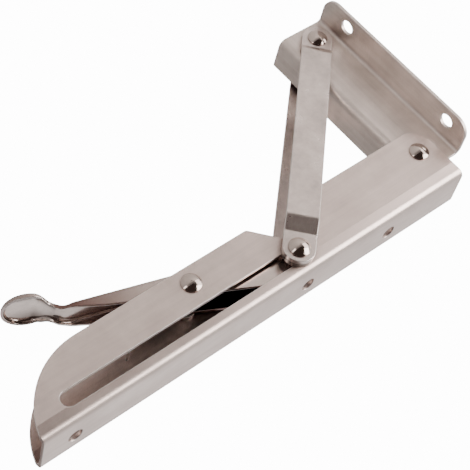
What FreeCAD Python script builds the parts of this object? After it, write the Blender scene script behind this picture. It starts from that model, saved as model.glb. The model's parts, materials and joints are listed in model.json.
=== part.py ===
import FreeCAD, Part
import math
import os

# Folding shelf bracket: a pressed arm hinged on a wall bracket and propped by two straps.
# The straps end on a slider that runs in the arm's slots, and the tail of a spring-loaded
# release lever stands in the slider's way, which locks the arm open.
# Millimetres. X points out from the wall, Y runs along it and Z is up. The origin is the
# centre of the wall bolt pattern, on the wall. The arm is modelled open, standing square
# to the wall.

# Sheets and their bends
SHEET = 2.0
STRUT_SHEET = 2.5
LEVER_SHEET = 1.5
BEND_R = 1.5

# Clearances
SIDE_GAP = 0.3
FACE_GAP = 0.15
RUNNING_GAP = 0.05
OPEN_GAP = 0.3

# Wall bracket
BOLT_SPREAD = 50.0
BOLT_PITCH = 86.0
BOLT_HOLE_R = 4.5
FLANGE_EDGE = 8.9
FLANGE_CORNER_R = 10.0
HAT_WIDTH = 24.4
HAT_DEPTH = 34.8
HAT_BEND_R = 2.5
HAT_ABOVE_BOLTS = 15.2
HAT_BELOW_FOOT = 12.0

# Arm pivot, from the wall and from the upper wall bolts
PIVOT_OUT = 24.0
PIVOT_ABOVE_BOLTS = 3.2

# Arm, measured from its pivot
ARM_BEHIND = 12.0
ARM_ABOVE = 26.0
ARM_BELOW = 14.5
ARM_BEND_R = 2.0
ARM_HEEL_R = 12.0
NOSE_BEYOND_SLOT = 24.0
NOSE_LEAN = 17.8
NOSE_LIP = 4.4
NOSE_FULLNESS = 0.98
SLOT_ABOVE = 13.1
SLOT_SPARE = 5.3
SHELF_HOLE_R = 4.5
SHELF_HOLE_WALL = 45.7
SHELF_HOLE_MIDDLE = 108.8
SHELF_HOLE_FROM_NOSE = 20.0

# Struts: the foot pivot and the locked slider, measured from the arm pivot
FOOT_BEHIND = 8.5
FOOT_BELOW = 97.9
LOCK_OUT = 109.5
STRUT_WIDTH = 18.3
JOGGLE = 3.0
FOOT_TAB = 8.6
FOOT_JOGGLE_RUN = 4.3
SLIDER_TAB = 10.7
SLIDER_JOGGLE_RUN = 9.4
NOTCH_GAP = 3.6
NOTCH_FLAT = 16.8
NOTCH_SPREAD = 16.6
NOTCH_R = 3.0

# Rivets, pins and bushes
PIN_R = 3.5
HEAD_R = 5.9
HEAD_HEIGHT = 2.6
HEAD_RIM = 0.7
UPSET_R = 5.0
UPSET_HEIGHT = 1.6
SLIDE_HEAD_R = 6.3
SLIDE_HEAD_HEIGHT = 3.4
SLIDE_PIN_R = 3.6
BUSH_R = 4.65
BUSH_FLANGE_R = 9.0
BUSH_FLANGE = 3.1
SPACER_R = 6.0

# Release lever, measured from its own pivot; the slope is in degrees below level
LEVER_OUT = 60.5
LEVER_BELOW = 4.75
LEVER_WIDTH = 19.8
LEVER_BEND_R = 2.0
LEVER_TOP_GAP = 3.5
LEVER_WEB_DROP = 12.3
LEVER_WEB_SLOPE = 16.8
TAIL_FLAT = 14.0
TAIL_CORNER_R = 5.0
TAIL_SHOULDER_R = 12.0
EDGE_BREAK_OUT = 43.0
EDGE_BREAK_RISE = 8.2
EDGE_BREAK_R = 20.0

# The lever's waist and spoon; neck, ramp and rim start from the spoon's near edge
TAPER_RUN = 7.8
TAPER_R = 14.0
WAIST_HALF = 7.6
WAIST_STRAIGHT = 0.6
WAIST_R = 4.5
NECK_LEAD = 3.8
NECK_BEND_R = 7.0
NECK_EDGE_RISE = 1.7
NECK_EDGE_R = 4.0
SPOON_OUT = 74.9
SPOON_DROP = 41.2
SPOON_TILT = 26.5
SPOON_R = 13.5
SPOON_DEPTH = 2.4
RAMP_REACH = 8.8
RIM_REACH = 7.3
RIM_R = 3.0

# Lever spring, its round wire drawn with flats
WIRE_R = 0.6
WIRE_SIDES = 8
COIL_R = 4.9
COIL_PITCH = 1.5
COIL_TURNS = 3
PRESS_OUT = 29.0
HOOK_OUT = 44.0
HOOK_RISE = 6.3
HOOK_BEND_R = 1.8

# Smallest length that counts, and the lean past which a face looks downwards
TINY = 1e-6
DOWNWARD = -0.5

X = FreeCAD.Vector(1, 0, 0)
Y = FreeCAD.Vector(0, 1, 0)
Z = FreeCAD.Vector(0, 0, 1)

# Places worked out from the sizes above
PIVOT = FreeCAD.Vector(PIVOT_OUT, 0, BOLT_PITCH / 2 + PIVOT_ABOVE_BOLTS)
FOOT = PIVOT + FreeCAD.Vector(-FOOT_BEHIND, 0, -FOOT_BELOW)
SLIDER = PIVOT + FreeCAD.Vector(LOCK_OUT, 0, SLOT_ABOVE)
LEVER = PIVOT + FreeCAD.Vector(LOCK_OUT + LEVER_OUT, 0, -LEVER_BELOW)
STRUT_LENGTH = (SLIDER - FOOT).Length
FOLDED_OUT = FOOT_BELOW + math.sqrt(STRUT_LENGTH ** 2 - (SLOT_ABOVE + FOOT_BEHIND) ** 2)
SLOT_END = FOLDED_OUT + SLOT_SPARE
NOSE_OUT = SLOT_END + NOSE_BEYOND_SLOT
SLOT_R = BUSH_R + RUNNING_GAP
LEVER_TAIL = SLIDE_PIN_R + OPEN_GAP - LEVER_OUT
SPOON = LEVER + FreeCAD.Vector(SPOON_OUT, 0, -SPOON_DROP)
SPOON_AWAY = FreeCAD.Rotation(Y, SPOON_TILT).multVec(X)
SPOON_UP = FreeCAD.Rotation(Y, SPOON_TILT).multVec(Z)
SPOON_EDGE = SPOON - SPOON_AWAY * SPOON_R
NECK_OUT = SPOON_EDGE.x - LEVER.x - NECK_LEAD

# Faces of the sheets, as distances from the middle plane
HAT_FACE = HAT_WIDTH / 2
HAT_INSIDE = HAT_FACE - SHEET
ARM_INSIDE = HAT_FACE + SIDE_GAP
ARM_FACE = ARM_INSIDE + SHEET
LEVER_FACE = LEVER_WIDTH / 2
FOOT_TAB_INSIDE = HAT_FACE + FACE_GAP
SLIDER_TAB_INSIDE = ARM_FACE + BUSH_FLANGE + OPEN_GAP


def rounded_corner(before, corner, after, radius):
    """Start, middle and end of the arc that rounds a corner."""
    to_before = (before - corner).normalize()
    to_after = (after - corner).normalize()
    half_angle = to_before.getAngle(to_after) / 2
    reach = radius / math.tan(half_angle)
    bisector = (to_before + to_after).normalize()
    middle = corner + bisector * (radius / math.sin(half_angle) - radius)
    return corner + to_before * reach, middle, corner + to_after * reach


def outline(points, origin, u_axis, v_axis):
    """Closed wire through (u, v, radius) points, each corner rounded by its radius."""
    corners = [origin + u_axis * u + v_axis * v for u, v, radius in points]
    edges = []
    starts = []
    ends = []
    for index, (u, v, radius) in enumerate(points):
        corner = corners[index]
        if radius > 0:
            following = corners[(index + 1) % len(corners)]
            start, middle, end = rounded_corner(corners[index - 1], corner, following, radius)
            edges.append(Part.Arc(start, middle, end).toShape())
        else:
            start = corner
            end = corner
        starts.append(start)
        ends.append(end)
    for index in range(len(points)):
        leave = ends[index - 1]
        arrive = starts[index]
        if (arrive - leave).Length > TINY:
            edges.append(Part.makeLine(leave, arrive))
    return Part.Wire(Part.__sortEdges__(edges))


def prism(points, origin, u_axis, v_axis, travel):
    """Solid swept by an outline along a straight travel."""
    return Part.Face(outline(points, origin, u_axis, v_axis)).extrude(travel)


def side_prism(points, origin, low_y, high_y):
    """Prism across the bracket from an outline of (x, z, radius) points seen from the side."""
    return prism(points, origin + Y * low_y, X, Z, Y * (high_y - low_y))


def offset_path(path, distance):
    """Open path moved to its left by a distance, with mitred corners."""
    normals = []
    for (u0, v0), (u1, v1) in zip(path, path[1:]):
        length = math.hypot(u1 - u0, v1 - v0)
        normals.append(((v0 - v1) / length, (u1 - u0) / length))
    moved = []
    for index, (u, v) in enumerate(path):
        before = normals[max(index - 1, 0)]
        after = normals[min(index, len(normals) - 1)]
        scale = distance / (1 + before[0] * after[0] + before[1] * after[1])
        moved.append((u + (before[0] + after[0]) * scale, v + (before[1] + after[1]) * scale))
    return moved


def bent_sheet(path, thickness, inner_radius):
    """Outline of a folded sheet: a path along one face, and the other face to its left.

    A negative thickness puts the other face to the right.
    """
    other = offset_path(path, thickness)
    radii = [0.0]
    other_radii = [0.0]
    for (u0, v0), (u1, v1), (u2, v2) in zip(path, path[1:], path[2:]):
        turn = (u1 - u0) * (v2 - v1) - (v1 - v0) * (u2 - u1)
        if turn * thickness > 0:
            radii.append(inner_radius + abs(thickness))
            other_radii.append(inner_radius)
        else:
            radii.append(inner_radius)
            other_radii.append(inner_radius + abs(thickness))
    radii.append(0.0)
    other_radii.append(0.0)
    first = [(u, v, r) for (u, v), r in zip(path, radii)]
    second = [(u, v, r) for (u, v), r in zip(other, other_radii)]
    return first + second[::-1]


def across(centre, radius, low_y, high_y):
    """Round bar along Y between two planes."""
    start = FreeCAD.Vector(centre.x, low_y, centre.z)
    return Part.makeCylinder(radius, high_y - low_y, start, Y)


def dome(centre, radius, height, face_y, side):
    """Domed rivet head that stands on a face, side being +1 or -1 along Y."""
    rise = height - HEAD_RIM
    ball = (radius ** 2 + rise ** 2) / (2 * rise)
    foot = FreeCAD.Vector(centre.x, side * face_y, centre.z)
    out = Y * side
    rim = foot + X * radius
    shoulder = rim + out * HEAD_RIM
    crown = foot + out * height
    angle = math.asin(radius / ball) / 2
    ball_centre = foot + out * (height - ball)
    halfway = ball_centre + X * (ball * math.sin(angle)) + out * (ball * math.cos(angle))
    edges = [
        Part.makeLine(foot, rim),
        Part.makeLine(rim, shoulder),
        Part.Arc(shoulder, halfway, crown).toShape(),
        Part.makeLine(crown, foot),
    ]
    return Part.Face(Part.Wire(edges)).revolve(foot, out, 360)


def on_side(centre, radius, near_y, far_y, side):
    """Round bar between two distances from the middle plane, on one side of it."""
    if side > 0:
        return across(centre, radius, near_y, far_y)
    return across(centre, radius, -far_y, -near_y)


def make_wall_bracket():
    """Hat section: two bolted flanges, two side walls and the front web."""
    flange_face = BOLT_SPREAD / 2 + FLANGE_EDGE
    path = [
        (0.0, -flange_face),
        (0.0, -HAT_INSIDE),
        (HAT_DEPTH - SHEET, -HAT_INSIDE),
        (HAT_DEPTH - SHEET, HAT_INSIDE),
        (0.0, HAT_INSIDE),
        (0.0, flange_face),
    ]
    low_z = FOOT.z - HAT_BELOW_FOOT
    high_z = BOLT_PITCH / 2 + HAT_ABOVE_BOLTS
    section = bent_sheet(path, -SHEET, HAT_BEND_R)
    body = prism(section, Z * low_z, X, Y, Z * (high_z - low_z))
    corners = [
        (-flange_face, low_z, FLANGE_CORNER_R),
        (flange_face, low_z, FLANGE_CORNER_R),
        (flange_face, high_z, FLANGE_CORNER_R),
        (-flange_face, high_z, FLANGE_CORNER_R),
    ]
    body = body.common(prism(corners, FreeCAD.Vector(0, 0, 0), Y, Z, X * HAT_DEPTH))
    for y in (-BOLT_SPREAD / 2, BOLT_SPREAD / 2):
        for z in (-BOLT_PITCH / 2, BOLT_PITCH / 2):
            body = body.cut(Part.makeCylinder(BOLT_HOLE_R, SHEET, FreeCAD.Vector(0, y, z), X))
    for centre in (PIVOT, FOOT):
        body = body.cut(across(centre, PIN_R + RUNNING_GAP, -HAT_WIDTH, HAT_WIDTH))
    return body


def arm_side_outline():
    """Side view of the arm, with the notch that clears the strut feet when folded."""
    notch_top = STRUT_WIDTH / 2 - FOOT_BEHIND + NOTCH_GAP
    notch_half = NOTCH_FLAT / 2
    mouth_half = notch_half + NOTCH_SPREAD
    nose_height = ARM_ABOVE - NOSE_LIP + ARM_BELOW
    nose_side = nose_height / math.cos(math.radians(NOSE_LEAN))
    nose_r = NOSE_FULLNESS * nose_side * math.tan(math.radians(90 + NOSE_LEAN) / 2)
    return [
        (-ARM_BEHIND, ARM_ABOVE, 0),
        (-ARM_BEHIND, -ARM_BELOW, ARM_HEEL_R),
        (FOOT_BELOW - mouth_half, -ARM_BELOW, NOTCH_R),
        (FOOT_BELOW - notch_half, notch_top, NOTCH_R),
        (FOOT_BELOW + notch_half, notch_top, NOTCH_R),
        (FOOT_BELOW + mouth_half, -ARM_BELOW, NOTCH_R),
        (NOSE_OUT - nose_height * math.tan(math.radians(NOSE_LEAN)), -ARM_BELOW, nose_r),
        (NOSE_OUT, ARM_ABOVE - NOSE_LIP, 0),
        (NOSE_OUT, ARM_ABOVE, 0),
    ]


def make_arm_channel():
    """Pressed channel with its web on top, slotted sides and three shelf screw holes."""
    path = [
        (-ARM_FACE, -ARM_BELOW),
        (-ARM_FACE, ARM_ABOVE),
        (ARM_FACE, ARM_ABOVE),
        (ARM_FACE, -ARM_BELOW),
    ]
    section = bent_sheet(path, -SHEET, ARM_BEND_R)
    length = ARM_BEHIND + NOSE_OUT
    body = prism(section, PIVOT - X * ARM_BEHIND, Y, Z, X * length)
    body = body.common(side_prism(arm_side_outline(), PIVOT, -ARM_FACE, ARM_FACE))
    slot = [
        (LOCK_OUT - SLOT_R, SLOT_ABOVE - SLOT_R, SLOT_R),
        (SLOT_END + SLOT_R, SLOT_ABOVE - SLOT_R, SLOT_R),
        (SLOT_END + SLOT_R, SLOT_ABOVE + SLOT_R, SLOT_R),
        (LOCK_OUT - SLOT_R, SLOT_ABOVE + SLOT_R, SLOT_R),
    ]
    body = body.cut(side_prism(slot, PIVOT, -ARM_FACE, ARM_FACE))
    for out in (SHELF_HOLE_WALL, SHELF_HOLE_MIDDLE, NOSE_OUT - SHELF_HOLE_FROM_NOSE):
        foot = PIVOT + X * out + Z * (ARM_ABOVE - SHEET)
        body = body.cut(Part.makeCylinder(SHELF_HOLE_R, SHEET, foot, Z))
    for centre in (PIVOT, LEVER):
        body = body.cut(across(centre, PIN_R, -ARM_FACE, ARM_FACE))
    return body.cut(across(spring_hook(), WIRE_R + RUNNING_GAP, 0, ARM_FACE))


def strut_axis():
    """Unit vector from the strut's foot to the slider."""
    return (SLIDER - FOOT).normalize()


def make_strut(side):
    """Flat strap, stepped outwards between its two riveted tabs, with round ends."""
    along = strut_axis()
    width_axis = along.cross(Y)
    half = STRUT_WIDTH / 2
    path = [
        (-half, FOOT_TAB_INSIDE),
        (FOOT_TAB, FOOT_TAB_INSIDE),
        (FOOT_TAB + FOOT_JOGGLE_RUN, FOOT_TAB_INSIDE + JOGGLE),
        (STRUT_LENGTH - SLIDER_TAB - SLIDER_JOGGLE_RUN, SLIDER_TAB_INSIDE + JOGGLE),
        (STRUT_LENGTH - SLIDER_TAB, SLIDER_TAB_INSIDE),
        (STRUT_LENGTH + half, SLIDER_TAB_INSIDE),
    ]
    section = bent_sheet(path, STRUT_SHEET, BEND_R)
    body = prism(section, FOOT - width_axis * half, along, Y * side, width_axis * STRUT_WIDTH)
    plan = [
        (-half, -half, half),
        (STRUT_LENGTH + half, -half, half),
        (STRUT_LENGTH + half, half, half),
        (-half, half, half),
    ]
    reach = SLIDER_TAB_INSIDE + JOGGLE + STRUT_SHEET
    body = body.common(prism(plan, FOOT, along, width_axis, Y * (side * reach)))
    body = body.cut(on_side(FOOT, PIN_R, FOOT_TAB_INSIDE, reach, side))
    return body.cut(on_side(SLIDER, SLIDE_PIN_R, SLIDER_TAB_INSIDE, reach, side))


def make_rivet(centre, outer_face, side):
    """Rivet from a domed head outside to its upset end inside the wall bracket."""
    inner_face = HAT_INSIDE - FACE_GAP
    body = on_side(centre, PIN_R, inner_face, outer_face, side)
    upset = on_side(centre, UPSET_R, inner_face - UPSET_HEIGHT, inner_face, side)
    return body.fuse([upset, dome(centre, HEAD_R, HEAD_HEIGHT, outer_face, side)]).removeSplitter()


def make_slide_pin_head(side):
    """Domed end of the slider axle, held in the strut's upper tab."""
    outer_face = SLIDER_TAB_INSIDE + STRUT_SHEET
    stub = on_side(SLIDER, SLIDE_PIN_R, SLIDER_TAB_INSIDE, outer_face, side)
    head = dome(SLIDER, SLIDE_HEAD_R, SLIDE_HEAD_HEIGHT, outer_face, side)
    return stub.fuse(head).removeSplitter()


def make_slide_bush(side):
    """Flanged bush: its sleeve runs in the slot and its flange on the arm's outer face."""
    flange = on_side(SLIDER, BUSH_FLANGE_R, ARM_FACE + FACE_GAP, ARM_FACE + BUSH_FLANGE, side)
    sleeve = on_side(SLIDER, BUSH_R, ARM_INSIDE, ARM_FACE + FACE_GAP, side)
    bore = on_side(SLIDER, SLIDE_PIN_R, ARM_INSIDE, ARM_FACE + BUSH_FLANGE, side)
    return flange.fuse(sleeve).cut(bore).removeSplitter()


def make_slide_pin(side):
    """Half of the slider axle: it ends beside the lever's wall."""
    return on_side(SLIDER, SLIDE_PIN_R, LEVER_FACE + OPEN_GAP, ARM_FACE + BUSH_FLANGE, side)


def web_z(x):
    """Height of the lever web's lower face at a distance out from the lever pivot."""
    return -LEVER_WEB_DROP - x * math.tan(math.radians(LEVER_WEB_SLOPE))


def lever_plan_walls(inset):
    """Upright solid over the lever's plan: a channel, its waist, and the round spoon.

    The inset is the distance inwards from the lever's outer faces.
    """
    flare_side = WAIST_HALF + WAIST_R
    flare_out = -math.sqrt((SPOON_R + WAIST_R) ** 2 - flare_side ** 2)
    taper_turn = math.atan((LEVER_FACE - WAIST_HALF) / TAPER_RUN)
    taper_end = flare_out - WAIST_STRAIGHT - TAPER_R * math.tan(taper_turn / 2)
    flank = [
        ((LEVER_TAIL - SPOON_OUT) / SPOON_AWAY.x - LEVER_WIDTH, LEVER_FACE),
        (taper_end - TAPER_RUN, LEVER_FACE),
        (taper_end, WAIST_HALF),
        (flare_out, WAIST_HALF),
    ]
    radii = [0, TAPER_R - inset, TAPER_R + inset, 0]
    right = [(u, v, radius) for (u, v), radius in zip(offset_path(flank, -inset), radii)]
    left = [(u, -v, radius) for u, v, radius in right[::-1]]
    joint = (SPOON_R - inset) / (SPOON_R + WAIST_R)
    flare = [
        (flare_out, -flare_side, 0),
        (flare_out * joint, -flare_side * joint, 0),
        (flare_out * joint, flare_side * joint, 0),
        (flare_out, flare_side, 0),
    ]
    reach = LEVER.distanceToPoint(SPOON)
    base = SPOON - SPOON_UP * (reach / 2)
    height = SPOON_UP * (2 * reach)
    walls = prism(flare, base, SPOON_AWAY, Y, height)
    for side in (-1, 1):
        centre = base + SPOON_AWAY * flare_out + Y * (side * flare_side)
        walls = walls.cut(Part.makeCylinder(WAIST_R + inset, height.Length, centre, SPOON_UP))
    spoon = Part.makeCylinder(SPOON_R - inset, height.Length, base, SPOON_UP)
    walls = walls.fuse([prism(left + right, base, SPOON_AWAY, Y, height), spoon])
    return walls.removeSplitter()


def floor_edges(block):
    """Edges where the floor of a block meets its upright walls."""
    edges = []
    for edge in block.Edges:
        leans = []
        for face in block.ancestorsOfType(edge, Part.Face):
            low_u, high_u, low_v, high_v = face.ParameterRange
            facing = face.normalAt((low_u + high_u) / 2, (low_v + high_v) / 2)
            leans.append(facing.dot(SPOON_UP))
        if min(leans) < DOWNWARD and abs(max(leans)) < TINY:
            edges.append(edge)
    return edges


def lever_block(inset, floor, radii, edge_r):
    """Solid over a plan of the lever, on a bent floor, its floor edges rounded."""
    half = SPOON_R + LEVER_WIDTH
    above = LEVER.distanceToPoint(SPOON)
    zone = [(x, z, radius) for (x, z), radius in zip(floor, radii)]
    zone += [(floor[-1][0], above, 0), (floor[0][0], above, 0)]
    block = lever_plan_walls(inset).common(side_prism(zone, LEVER, -half, half))
    return block.makeFillet(edge_r, floor_edges(block))


def lever_floor():
    """Side view of the web's lower face, from the tail to past the spoon."""
    spare = LEVER_TAIL - LEVER_WIDTH
    dish = SPOON_EDGE - LEVER - SPOON_UP * (SPOON_DEPTH + LEVER_SHEET)
    ramp_foot = dish + SPOON_AWAY * RAMP_REACH
    beyond = dish + SPOON_AWAY * (3 * SPOON_R)
    return [
        (spare, web_z(spare)),
        (NECK_OUT, web_z(NECK_OUT)),
        (ramp_foot.x, ramp_foot.z),
        (beyond.x, beyond.z),
    ]


def lever_side_view():
    """Side view that trims the lever's tail and the upper edges of its walls."""
    tail_top = ARM_ABOVE - SHEET - LEVER_TOP_GAP + LEVER_BELOW
    near_edge = SPOON_EDGE - LEVER
    rim_start = near_edge + SPOON_AWAY * RIM_REACH
    rim_end = near_edge + SPOON_AWAY * (3 * SPOON_R)
    deep = rim_end.z - LEVER_WIDTH
    return [
        (LEVER_TAIL, tail_top, TAIL_CORNER_R),
        (LEVER_TAIL, deep, 0),
        (rim_end.x, deep, 0),
        (rim_end.x, rim_end.z, 0),
        (rim_start.x, rim_start.z, RIM_R),
        (near_edge.x, web_z(NECK_OUT) + NECK_EDGE_RISE, NECK_EDGE_R),
        (EDGE_BREAK_OUT, web_z(EDGE_BREAK_OUT) + EDGE_BREAK_RISE, EDGE_BREAK_R),
        (LEVER_TAIL + TAIL_FLAT, tail_top, TAIL_SHOULDER_R),
    ]


def make_release_lever():
    """Pressed channel that narrows to a waist, steps down and ends in a round spoon."""
    floor = lever_floor()
    step_r = NECK_BEND_R + LEVER_SHEET
    hull = lever_block(0, floor, [0, NECK_BEND_R, step_r, 0], LEVER_BEND_R + LEVER_SHEET)
    inner_floor = offset_path(floor, LEVER_SHEET)
    hollow = lever_block(LEVER_SHEET, inner_floor, [0, step_r, NECK_BEND_R, 0], LEVER_BEND_R)
    body = hull.cut(hollow).common(side_prism(lever_side_view(), LEVER, -SPOON_R, SPOON_R))
    body = body.cut(across(LEVER, PIN_R + RUNNING_GAP, -LEVER_FACE, LEVER_FACE))
    return body.removeSplitter()


def make_lever_pin():
    """Pin through both sides of the arm, with a domed head at each end."""
    bar = across(LEVER, PIN_R, -ARM_FACE, ARM_FACE)
    heads = [dome(LEVER, HEAD_R, HEAD_HEIGHT, ARM_FACE, side) for side in (-1, 1)]
    return bar.fuse(heads).removeSplitter()


def make_lever_spacer(side):
    """Tube that keeps the lever in the middle of the arm."""
    low = LEVER_FACE + FACE_GAP
    high = ARM_INSIDE
    outer = on_side(LEVER, SPACER_R, low, high, side)
    return outer.cut(on_side(LEVER, PIN_R, low, high, side))


def spring_leg(tip_x, tip_z, above):
    """Angle of a spring leg that is tangent to the coil, to a tip beside the lever pivot."""
    lean = math.asin(COIL_R / math.hypot(tip_x, tip_z))
    bearing = math.atan2(tip_z, tip_x)
    return bearing - lean if above else bearing + lean


def spring_hook():
    """Where the spring's long leg hooks into the arm's far side."""
    return LEVER + FreeCAD.Vector(HOOK_OUT, 0, HOOK_RISE)


def coil_end(bearing, tip_x, tip_z, lift, side):
    """Foot and tip of a leg that leaves the coil at a bearing, on one end of the coil."""
    climb = math.atan(COIL_PITCH / (2 * math.pi * COIL_R))
    outward = FreeCAD.Vector(-math.sin(bearing), 0, math.cos(bearing))
    foot = LEVER + outward * (side * COIL_R) + Y * (side * lift)
    level = FreeCAD.Vector(math.cos(bearing), 0, math.sin(bearing))
    length = math.sqrt(tip_x ** 2 + tip_z ** 2 - COIL_R ** 2)
    return foot, foot + level * length + Y * (side * length * math.tan(climb))


def make_lever_spring():
    """Torsion spring round the lever pin: one leg hooks the arm, one presses the lever."""
    web_slope = math.radians(LEVER_WEB_SLOPE)
    press_z = web_z(PRESS_OUT) + (LEVER_SHEET + WIRE_R + FACE_GAP) / math.cos(web_slope)
    hook_way = spring_leg(HOOK_OUT, HOOK_RISE, True)
    press_way = spring_leg(PRESS_OUT, press_z, False)
    turns = COIL_TURNS - (hook_way - press_way + math.pi) / (2 * math.pi)
    height = COIL_PITCH * turns
    start = hook_way + math.pi / 2
    place = FreeCAD.Matrix(
        math.cos(start), -math.sin(start), 0, LEVER.x,
        0, 0, -1, LEVER.y + height / 2,
        math.sin(start), math.cos(start), 0, LEVER.z,
        0, 0, 0, 1,
    )
    coil = Part.makeHelix(COIL_PITCH, height, COIL_R).transformGeometry(place)
    hook_foot, hook_bend = coil_end(hook_way, HOOK_OUT, HOOK_RISE, height / 2, 1)
    press_foot, press_tip = coil_end(press_way, PRESS_OUT, press_z, height / 2, -1)
    hook_tip = spring_hook() + Y * ARM_FACE
    bend = rounded_corner(hook_tip, hook_bend, hook_foot, HOOK_BEND_R)
    edges = [
        Part.makeLine(hook_tip, bend[0]),
        Part.Arc(*bend).toShape(),
        Part.makeLine(bend[2], hook_foot),
    ]
    edges += coil.Edges
    edges.append(Part.makeLine(press_foot, press_tip))
    section = []
    for index in range(WIRE_SIDES + 1):
        turn = 2 * math.pi * index / WIRE_SIDES
        section.append(hook_tip + X * (WIRE_R * math.cos(turn)) + Z * (WIRE_R * math.sin(turn)))
    return Part.Wire(edges).makePipeShell([Part.makePolygon(section)], True, False)


def main():
    os.makedirs("parts", exist_ok=True)
    pieces = {
        "wall_bracket": make_wall_bracket(),
        "arm_channel": make_arm_channel(),
        "release_lever": make_release_lever(),
        "lever_pin": make_lever_pin(),
        "lever_spring": make_lever_spring(),
    }
    for name, side in (("left", -1), ("right", 1)):
        pieces[name + "_strut"] = make_strut(side)
        pieces[name + "_arm_rivet"] = make_rivet(PIVOT, ARM_FACE, side)
        pieces[name + "_strut_rivet"] = make_rivet(FOOT, FOOT_TAB_INSIDE + STRUT_SHEET, side)
        pieces[name + "_slide_pin_head"] = make_slide_pin_head(side)
        pieces[name + "_slide_bush"] = make_slide_bush(side)
        pieces[name + "_slide_pin"] = make_slide_pin(side)
        pieces[name + "_lever_spacer"] = make_lever_spacer(side)
    for name, shape in pieces.items():
        print(name, shape.isValid(), len(shape.Solids), round(shape.Volume, 1))
        shape.exportStep("parts/" + name + ".step")


main()
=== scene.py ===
import json

import bpy
from mathutils import Matrix, Vector


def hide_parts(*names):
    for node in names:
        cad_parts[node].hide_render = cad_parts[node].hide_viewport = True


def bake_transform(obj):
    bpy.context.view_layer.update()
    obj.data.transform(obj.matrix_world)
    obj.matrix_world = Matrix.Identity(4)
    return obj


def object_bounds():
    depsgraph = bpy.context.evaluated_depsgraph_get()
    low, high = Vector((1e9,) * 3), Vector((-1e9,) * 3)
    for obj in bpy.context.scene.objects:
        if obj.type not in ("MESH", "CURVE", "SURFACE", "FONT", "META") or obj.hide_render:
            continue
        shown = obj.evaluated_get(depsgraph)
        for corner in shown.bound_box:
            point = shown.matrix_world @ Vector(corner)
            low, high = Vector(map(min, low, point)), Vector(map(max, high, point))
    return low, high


# Looks of the folding shelf bracket: brushed and polished stainless steel, in soft light.
# Metres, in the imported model's frame.

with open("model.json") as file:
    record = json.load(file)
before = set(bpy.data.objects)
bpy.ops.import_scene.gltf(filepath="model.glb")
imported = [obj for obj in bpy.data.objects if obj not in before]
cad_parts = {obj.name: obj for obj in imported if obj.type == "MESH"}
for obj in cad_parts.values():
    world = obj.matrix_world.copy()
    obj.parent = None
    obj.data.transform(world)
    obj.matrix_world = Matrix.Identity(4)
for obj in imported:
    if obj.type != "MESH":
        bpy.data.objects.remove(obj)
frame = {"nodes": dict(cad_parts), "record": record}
cad_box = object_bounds()

# Camera, from the photograph's vanishing lines
CAMERA_PLACE = Vector((0.5507, -0.6544, 0.3108))
IMAGE_RIGHT = Vector((-0.7434, -0.1790, 0.6445))
IMAGE_UP = Vector((-0.4511, -0.5774, -0.6806))
IMAGE_NEARER = Vector((0.4939, -0.7966, 0.3485))
SENSOR_MM = 36.0
LENS_MM = 114.04
CLIP_START = 0.05
CLIP_END = 50.0

# Floor, matt to the object and plain white to the camera
FLOOR_DROP = 0.30
FLOOR_SIZE = 16.0
FLOOR_COLOUR = (0.64, 0.63, 0.62, 1)
PAPER_WHITE = 14.0

# Lights, whose directions are along the image's right, up and towards the viewer
LIGHT_DISTANCE = 1.5
KEY_DIRECTION = (0.90, 0.15, 0.30)
KEY_SIZE = 1.0
KEY_WATTS = 25.0
KEY_COLOUR = (1.0, 0.92, 0.86)
TOP_DIRECTION = (0.75, 0.62, 0.05)
TOP_SIZE = 0.9
TOP_WATTS = 8.0
TOP_COLOUR = (1.0, 0.90, 0.85)
FILL_DIRECTION = (-0.50, 0.45, 0.74)
FILL_SIZE = 0.8
FILL_WATTS = 8.0
FILL_COLOUR = (1.0, 0.90, 0.84)
WORLD_LIGHT = (1.06, 1.03, 1.01)
WORLD_DARK = (0.045, 0.030, 0.026)
WORLD_TURN = (-0.15, 0.0, 1.0)
WORLD_FROM = -0.55
WORLD_TO = 0.50

# Steel finishes
GRAIN_SCALE = 260.0
GRAIN_STRETCH = 0.04
GRAIN_STRENGTH = 0.35
GRAIN_DETAIL = 6.0
GRAIN_BREAKUP = 0.7
MOTTLE_SCALE = 55.0
MOTTLE_DETAIL = 4.0
MOTTLE_BREAKUP = 0.6
SPECKLE_FROM = 0.7
SPECKLE_TO = 1.3
DARK_ROUGHNESS = 1.15
LIGHT_ROUGHNESS = 0.85
GRAIN_TONES = (0.86, 1.10)
STRUT_TONES = (0.75, 1.16)
ANISOTROPY = 0.3
# Bevelled edges, and the painted highlight along them
EDGE_RADIUS = 0.0005
EDGE_NONE = 0.995
EDGE_FULL = 0.93
BEVEL_SAMPLES = 6
EDGE_HIGHLIGHT_COLOUR = (0.99, 0.98, 0.97)

# Stretch of the grain along X, Y and Z
ALONG_X = (GRAIN_STRETCH, 1, 1)
ALONG_Z = (1, 1, GRAIN_STRETCH)
ALONG_STRUT = (0.4, 1, 0.4)
ROUND_BUSH = (1, 0.1, 1)
EVEN = (1, 1, 1)

# Painted brown shade inside the arm, with its share at the nose and elsewhere
PAINTED_SHADE_COLOUR = (0.20, 0.125, 0.112)
ARM_SHADE = 0.50
ARM_SHADE_LOW = 0.05
NOSE_LENGTH = 0.030
SKIN = 0.0008

# Arm's shoulders, which lean inwards above the slot
SHOULDER_DROP = 0.0095
SHOULDER_SINK = 0.0024

# Painted brown shade on the lever, as shares at its pivot and its neck, and on the spoon's floor
# and rim
OUTER_SHADE = (0.10, 1.0)
INNER_SHADE = (1.0, 0.15)
OUTER_WALL = 0.004
SPOON_LENGTH = 0.022
SPOON_FORESHORTENING = 0.895
RIM_FROM = 0.66
RIM_TO = 0.86
RIM_SHADE = 0.6
BOWL_SHADE = 0.16
OUTER_SHADE_FULL_BEFORE_NECK = 0.010
BOWL_DEPTH = 0.0028

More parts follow.
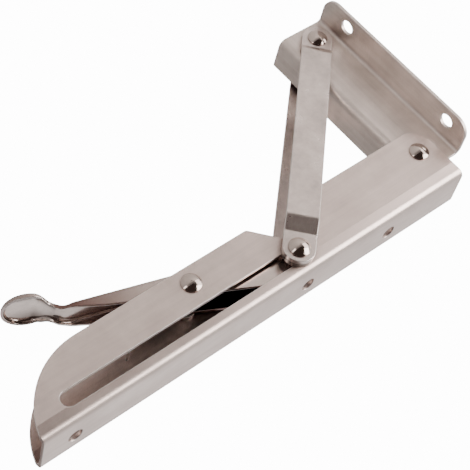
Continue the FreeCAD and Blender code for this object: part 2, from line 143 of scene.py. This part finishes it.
# Painted shade in the corners, from ambient occlusion
CORNER_SHADE_REACH = 0.005
CORNER_SHADE_SAMPLES = 8
CORNER_SHADE_FROM = 0.9
CORNER_SHADE_TO = 0.3
CORNER_SHADE = 0.60


def camera_matrix():
    """The camera's place, turned so that its axes are the image's right, up and nearer."""
    columns = Matrix((IMAGE_RIGHT, IMAGE_UP, IMAGE_NEARER)).transposed()
    return Matrix.Translation(CAMERA_PLACE) @ columns.to_4x4()


def add_camera():
    """Camera at the photograph's place and viewing angle."""
    data = bpy.data.cameras.new("camera")
    data.lens = LENS_MM
    data.sensor_width = SENSOR_MM
    data.clip_start = CLIP_START
    data.clip_end = CLIP_END
    camera = bpy.data.objects.new("camera", data)
    camera.matrix_world = camera_matrix()
    bpy.context.scene.collection.objects.link(camera)
    bpy.context.scene.camera = camera


def image_direction(right, up, nearer):
    """World direction given along the photograph's right, up and towards the viewer."""
    return (IMAGE_RIGHT * right + IMAGE_UP * up + IMAGE_NEARER * nearer).normalized()


def add_softbox(name, direction, size, watts, colour, centre):
    """Square area light that faces the object."""
    data = bpy.data.lights.new(name, "AREA")
    data.shape = "SQUARE"
    data.size = size
    data.energy = watts
    data.color = colour
    light = bpy.data.objects.new(name, data)
    way = image_direction(*direction)
    light.location = centre + way * LIGHT_DISTANCE
    light.rotation_mode = "QUATERNION"
    light.rotation_quaternion = way.to_track_quat("Z", "Y")
    bpy.context.scene.collection.objects.link(light)


def new_material(name):
    """Empty node material, with its nodes, links and output."""
    material = bpy.data.materials.new(name)
    material.use_nodes = True
    nodes = material.node_tree.nodes
    nodes.clear()
    output = nodes.new("ShaderNodeOutputMaterial")
    return material, nodes, material.node_tree.links, output


def add_floor(centre, lowest):
    """Plain pale floor, well below the object."""
    half = FLOOR_SIZE / 2
    z = lowest - FLOOR_DROP
    corners = [(-half, -half), (half, -half), (half, half), (-half, half)]
    mesh = bpy.data.meshes.new("floor")
    mesh.from_pydata([(centre.x + x, centre.y + y, z) for x, y in corners], [], [(0, 1, 2, 3)])
    floor = bpy.data.objects.new("floor", mesh)
    bpy.context.scene.collection.objects.link(floor)
    material, nodes, links, output = new_material("floor")
    matt = nodes.new("ShaderNodeBsdfDiffuse")
    matt.inputs["Color"].default_value = FLOOR_COLOUR
    glow = nodes.new("ShaderNodeEmission")
    glow.inputs["Strength"].default_value = PAPER_WHITE
    seen = nodes.new("ShaderNodeLightPath")
    choice = nodes.new("ShaderNodeMixShader")
    links.new(seen.outputs["Is Camera Ray"], choice.inputs[0])
    links.new(matt.outputs["BSDF"], choice.inputs[1])
    links.new(glow.outputs["Emission"], choice.inputs[2])
    links.new(choice.outputs["Shader"], output.inputs["Surface"])
    mesh.materials.append(material)


def add_world():
    """Soft studio surroundings that darken towards one side."""
    world = bpy.data.worlds.new("studio")
    world.use_nodes = True
    bpy.context.scene.world = world
    nodes = world.node_tree.nodes
    links = world.node_tree.links
    nodes.clear()
    output = nodes.new("ShaderNodeOutputWorld")
    background = nodes.new("ShaderNodeBackground")
    place = nodes.new("ShaderNodeTexCoord")
    facing = nodes.new("ShaderNodeVectorMath")
    facing.operation = "DOT_PRODUCT"
    facing.inputs[1].default_value = image_direction(*WORLD_TURN)
    ramp = nodes.new("ShaderNodeMapRange")
    ramp.interpolation_type = "SMOOTHSTEP"
    ramp.inputs["From Min"].default_value = WORLD_FROM
    ramp.inputs["From Max"].default_value = WORLD_TO
    colour = mix_colour(nodes, links, ramp.outputs["Result"], WORLD_LIGHT, WORLD_DARK)
    links.new(place.outputs["Generated"], facing.inputs[0])
    links.new(facing.outputs["Value"], ramp.inputs["Value"])
    links.new(colour, background.inputs["Color"])
    links.new(background.outputs["Background"], output.inputs["Surface"])


def mix_colour(nodes, links, factor, first, second):
    """Colour between two colours, by a factor socket."""
    mix = nodes.new("ShaderNodeMix")
    mix.data_type = "RGBA"
    mix.inputs["A"].default_value = (*first, 1)
    mix.inputs["B"].default_value = (*second, 1)
    links.new(factor, mix.inputs["Factor"])
    return mix.outputs["Result"]


def map_range(nodes, links, value, low, high, to_low, to_high):
    """Value mapped from one range to another."""
    node = nodes.new("ShaderNodeMapRange")
    node.inputs["From Min"].default_value = low
    node.inputs["From Max"].default_value = high
    node.inputs["To Min"].default_value = to_low
    node.inputs["To Max"].default_value = to_high
    links.new(value, node.inputs["Value"])
    return node.outputs["Result"]


def noise(nodes, links, scale, stretch, detail, breakup):
    """Noise in the object's own coordinates, stretched along the grain."""
    place = nodes.new("ShaderNodeTexCoord")
    mapping = nodes.new("ShaderNodeMapping")
    mapping.inputs["Scale"].default_value = stretch
    texture = nodes.new("ShaderNodeTexNoise")
    texture.inputs["Scale"].default_value = scale
    texture.inputs["Detail"].default_value = detail
    texture.inputs["Roughness"].default_value = breakup
    links.new(place.outputs["Object"], mapping.inputs["Vector"])
    links.new(mapping.outputs["Vector"], texture.inputs["Vector"])
    return texture.outputs["Fac"]


def arithmetic(nodes, links, operation, first, second):
    """Result of one sum, on a socket and a socket or number."""
    node = nodes.new("ShaderNodeMath")
    node.operation = operation
    links.new(first, node.inputs[0])
    if isinstance(second, float):
        node.inputs[1].default_value = second
    else:
        links.new(second, node.inputs[1])
    return node.outputs["Value"]


def object_axes(nodes, links, kind="Object"):
    """X, Y and Z of the place in the object, or of its normal, as separate sockets."""
    place = nodes.new("ShaderNodeTexCoord")
    split = nodes.new("ShaderNodeSeparateXYZ")
    links.new(place.outputs[kind], split.inputs["Vector"])
    return split.outputs["X"], split.outputs["Y"], split.outputs["Z"]


def bump(nodes, links, height, strength, distance, normal):
    """Normal raised by a height."""
    node = nodes.new("ShaderNodeBump")
    node.inputs["Strength"].default_value = strength
    node.inputs["Distance"].default_value = distance
    links.new(height, node.inputs["Height"])
    links.new(normal, node.inputs["Normal"])
    return node.outputs["Normal"]


def bevelled_edges_and_highlight(nodes, links, highlight_share):
    """Softened normal, and how much of the painted highlight along the edges shows."""
    bevel = nodes.new("ShaderNodeBevel")
    bevel.samples = BEVEL_SAMPLES
    bevel.inputs["Radius"].default_value = EDGE_RADIUS
    surface = nodes.new("ShaderNodeNewGeometry")
    agreement = nodes.new("ShaderNodeVectorMath")
    agreement.operation = "DOT_PRODUCT"
    links.new(bevel.outputs["Normal"], agreement.inputs[0])
    links.new(surface.outputs["Normal"], agreement.inputs[1])
    highlight_amount = map_range(nodes, links, agreement.outputs["Value"], EDGE_NONE, EDGE_FULL, 0.0, highlight_share)
    return bevel.outputs["Normal"], highlight_amount


def blend(nodes, links, factor, first, colour):
    """A colour socket covered by a plain colour, by a factor socket."""
    mix = nodes.new("ShaderNodeMix")
    mix.data_type = "RGBA"
    mix.inputs["B"].default_value = (*colour, 1)
    links.new(factor, mix.inputs["Factor"])
    links.new(first, mix.inputs["A"])
    return mix.outputs["Result"]


def painted_corner_shade(nodes, links):
    """Where painted shade darkens the steel: in corners and under the rims of neighbours."""
    node = nodes.new("ShaderNodeAmbientOcclusion")
    node.samples = CORNER_SHADE_SAMPLES
    node.inputs["Distance"].default_value = CORNER_SHADE_REACH
    return map_range(nodes, links, node.outputs["AO"], CORNER_SHADE_FROM, CORNER_SHADE_TO, 0.0, CORNER_SHADE)


def steel(name, colour, roughness, grain, grain_depth, edge_highlight_share, painted_shade=None, crown=None,
          tones=GRAIN_TONES):
    """Stainless steel with a grain direction, mottling, painted shade in its corners and painted
    highlights on its edges.

    The stain mask gives where painted brown shade covers it, and a crown the height of a swell
    in it. Tones are the shares of its colour in its darkest and lightest mottling.
    """
    material, nodes, links, output = new_material(name)
    shader = nodes.new("ShaderNodeBsdfPrincipled")
    shader.inputs["Metallic"].default_value = 1.0
    shader.inputs["Anisotropic"].default_value = ANISOTROPY
    mottle = noise(nodes, links, MOTTLE_SCALE, EVEN, MOTTLE_DETAIL, MOTTLE_BREAKUP)
    streak = noise(nodes, links, GRAIN_SCALE, grain, GRAIN_DETAIL, GRAIN_BREAKUP)
    normal, highlight_amount = bevelled_edges_and_highlight(nodes, links, edge_highlight_share)
    speckle = arithmetic(nodes, links, "ADD", mottle, streak)
    shade = map_range(nodes, links, speckle, SPECKLE_FROM, SPECKLE_TO, 0.0, 1.0)
    darker = tuple(c * tones[0] for c in colour)
    lighter = tuple(min(c * tones[1], 1.0) for c in colour)
    tone = mix_colour(nodes, links, shade, darker, lighter)
    # Painted brown shade where the stain mask gives it
    if painted_shade:
        tone = blend(nodes, links, painted_shade(nodes, links), tone, PAINTED_SHADE_COLOUR)
    # Painted shade in corners and under neighbouring rims
    tone = blend(nodes, links, painted_corner_shade(nodes, links), tone, PAINTED_SHADE_COLOUR)
    # Painted highlight along the edges
    tone = blend(nodes, links, highlight_amount, tone, EDGE_HIGHLIGHT_COLOUR)
    links.new(tone, shader.inputs["Base Color"])
    matt, glossy = roughness * DARK_ROUGHNESS, roughness * LIGHT_ROUGHNESS
    rough = map_range(nodes, links, shade, 0.0, 1.0, matt, glossy)
    links.new(rough, shader.inputs["Roughness"])
    if crown:
        normal = bump(nodes, links, crown(nodes, links), 1.0, 1.0, normal)
    normal = bump(nodes, links, streak, GRAIN_STRENGTH, grain_depth, normal)
    links.new(normal, shader.inputs["Normal"])
    links.new(shader.outputs["BSDF"], output.inputs["Surface"])
    return material


def extent(name):
    """Lowest and highest corner of a node, in its own coordinates."""
    corners = [Vector(corner) for corner in frame["nodes"][name].bound_box]
    low = Vector(min(corner[axis] for corner in corners) for axis in range(3))
    high = Vector(max(corner[axis] for corner in corners) for axis in range(3))
    return low, high


def arm_inside_shade(nodes, links):
    """How much painted brown shade shows where the arm's surface lies inside its channel."""
    high = extent("arm_channel")[1]
    x, y, z = object_axes(nodes, links)
    nose = high.x - NOSE_LENGTH
    amount = map_range(nodes, links, x, nose, high.x, ARM_SHADE_LOW, ARM_SHADE)
    side = arithmetic(nodes, links, "ABSOLUTE", y, 0.0)
    between = map_range(nodes, links, side, high.y - SKIN, high.y - 2 * SKIN, 0.0, 1.0)
    below = map_range(nodes, links, z, high.z - SKIN, high.z - 2 * SKIN, 0.0, 1.0)
    inside = arithmetic(nodes, links, "MULTIPLY", between, below)
    return arithmetic(nodes, links, "MULTIPLY", inside, amount)


def arm_shoulder(nodes, links):
    """Height of the arm's sides, which lean inwards above the slot."""
    high = extent("arm_channel")[1]
    z = object_axes(nodes, links)[2]
    return map_range(nodes, links, z, high.z - SHOULDER_DROP, high.z, 0.0, -SHOULDER_SINK)


def lever_painted_shade(nodes, links):
    """Where painted brown shade lies on the lever.

    Outside the painted shade deepens towards the neck, and inside it fades out there. The spoon
    has its own.
    """
    pivot = extent("lever_pin")
    start = (pivot[0].x + pivot[1].x) / 2
    high = extent("release_lever")[1]
    neck = high.x - SPOON_LENGTH
    x, y = object_axes(nodes, links)[:2]
    facing_y = object_axes(nodes, links, "Normal")[1]
    outwards = arithmetic(nodes, links, "MULTIPLY", facing_y, y)
    outer = map_range(nodes, links, outwards, 0.0, OUTER_WALL, 0.0, 1.0)
    inner = map_range(nodes, links, outwards, 0.0, OUTER_WALL, 1.0, 0.0)
    outer_shade_share = map_range(nodes, links, x, start, neck - OUTER_SHADE_FULL_BEFORE_NECK, *OUTER_SHADE)
    inner_shade_share = map_range(nodes, links, x, start, neck, *INNER_SHADE)
    outside = arithmetic(nodes, links, "MULTIPLY", outer, outer_shade_share)
    inside = arithmetic(nodes, links, "MULTIPLY", inner, inner_shade_share)
    channel = arithmetic(nodes, links, "ADD", outside, inside)
    before = map_range(nodes, links, x, neck - SKIN, neck + SKIN, 1.0, 0.0)
    channel = arithmetic(nodes, links, "MULTIPLY", channel, before)
    return arithmetic(nodes, links, "ADD", channel, spoon_rim_shade(nodes, links, x, y))


def spoon_reach(nodes, links, x, y):
    """Square of the distance from the spoon's middle, in shares of its half length and width."""
    high = extent("release_lever")[1]
    half_length = high.y * SPOON_FORESHORTENING
    out = arithmetic(nodes, links, "SUBTRACT", x, high.x - half_length)
    out = arithmetic(nodes, links, "DIVIDE", out, half_length)
    side = arithmetic(nodes, links, "DIVIDE", y, high.y)
    squares = [arithmetic(nodes, links, "MULTIPLY", share, share) for share in (out, side)]
    return arithmetic(nodes, links, "ADD", *squares)


def spoon_rim_shade(nodes, links, x, y):
    """How much painted shade shows on the spoon: a light painted shade on its floor, and a
    painted dark line round its rim.
    """
    high = extent("release_lever")[1]
    middle = high.x - high.y * SPOON_FORESHORTENING
    spoon = map_range(nodes, links, x, high.x - SPOON_LENGTH, middle, 0.0, 1.0)
    reach = spoon_reach(nodes, links, x, y)
    rim = map_range(nodes, links, reach, RIM_FROM, RIM_TO, BOWL_SHADE, RIM_SHADE)
    return arithmetic(nodes, links, "MULTIPLY", rim, spoon)


def spoon_bowl(nodes, links):
    """Height of the spoon's floor, which rises to its rim all round."""
    x, y = object_axes(nodes, links)[:2]
    return map_range(nodes, links, spoon_reach(nodes, links, x, y), 0.0, 1.0, 0.0, BOWL_DEPTH)


def finishes():
    """Material for each of the record's slots."""
    # edge_highlight_share is the share of painted highlight on each finish's edges
    looks = {
        # stain marks painted brown shade: inside the arm, and on the lever and its spoon
        "arm_sheet": dict(
            colour=(0.80, 0.69, 0.65), roughness=0.34, grain=ALONG_X, grain_depth=2e-5,
            edge_highlight_share=0.95, painted_shade=arm_inside_shade, crown=arm_shoulder),
        "bracket_sheet": dict(
            colour=(0.80, 0.72, 0.68), roughness=0.40, grain=ALONG_Z, grain_depth=2e-5,
            edge_highlight_share=0.7),
        "strut_sheet": dict(
            colour=(0.78, 0.70, 0.67), roughness=0.30, grain=ALONG_STRUT, grain_depth=2e-5,
            edge_highlight_share=0.8, tones=STRUT_TONES),
        "lever_sheet": dict(
            colour=(0.80, 0.71, 0.67), roughness=0.18, grain=ALONG_X, grain_depth=1e-5,
            edge_highlight_share=0.5, painted_shade=lever_painted_shade, crown=spoon_bowl),
        "rivets": dict(
            colour=(0.62, 0.54, 0.50), roughness=0.10, grain=EVEN, grain_depth=4e-6,
            edge_highlight_share=0.2),
        "bushes": dict(
            colour=(0.45, 0.42, 0.40), roughness=0.40, grain=ROUND_BUSH, grain_depth=8e-6,
            edge_highlight_share=0.3),
        "spring_wire": dict(
            colour=(0.62, 0.60, 0.58), roughness=0.25, grain=EVEN, grain_depth=4e-6,
            edge_highlight_share=0.2),
    }
    return {slot: steel(slot, **look) for slot, look in looks.items()}


def add_wound_spring(material):
    """Copy of the CAD spring's own mesh with the spring wire's finish, standing in its place
    while the CAD spring is hidden.
    """
    spring = bpy.data.objects.new("wound_spring", frame["nodes"]["lever_spring"].data.copy())
    bpy.context.scene.collection.objects.link(spring)
    spring.data.materials.clear()
    spring.data.materials.append(material)
    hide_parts("lever_spring")
    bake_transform(spring)


def dress_nodes():
    """Gives every carried-over node the material of its slot."""
    made = finishes()
    add_wound_spring(made["spring_wire"])
    for part in frame["record"]["subparts"]:
        node = frame["nodes"][part["node"]]
        node.data.materials.clear()
        node.data.materials.append(made[part["material_slot"]])


middle = (cad_box[0] + cad_box[1]) / 2
dress_nodes()
add_camera()
add_floor(middle, cad_box[0].z)
add_world()
add_softbox("key", KEY_DIRECTION, KEY_SIZE, KEY_WATTS, KEY_COLOUR, middle)
add_softbox("top", TOP_DIRECTION, TOP_SIZE, TOP_WATTS, TOP_COLOUR, middle)
add_softbox("fill", FILL_DIRECTION, FILL_SIZE, FILL_WATTS, FILL_COLOUR, middle)
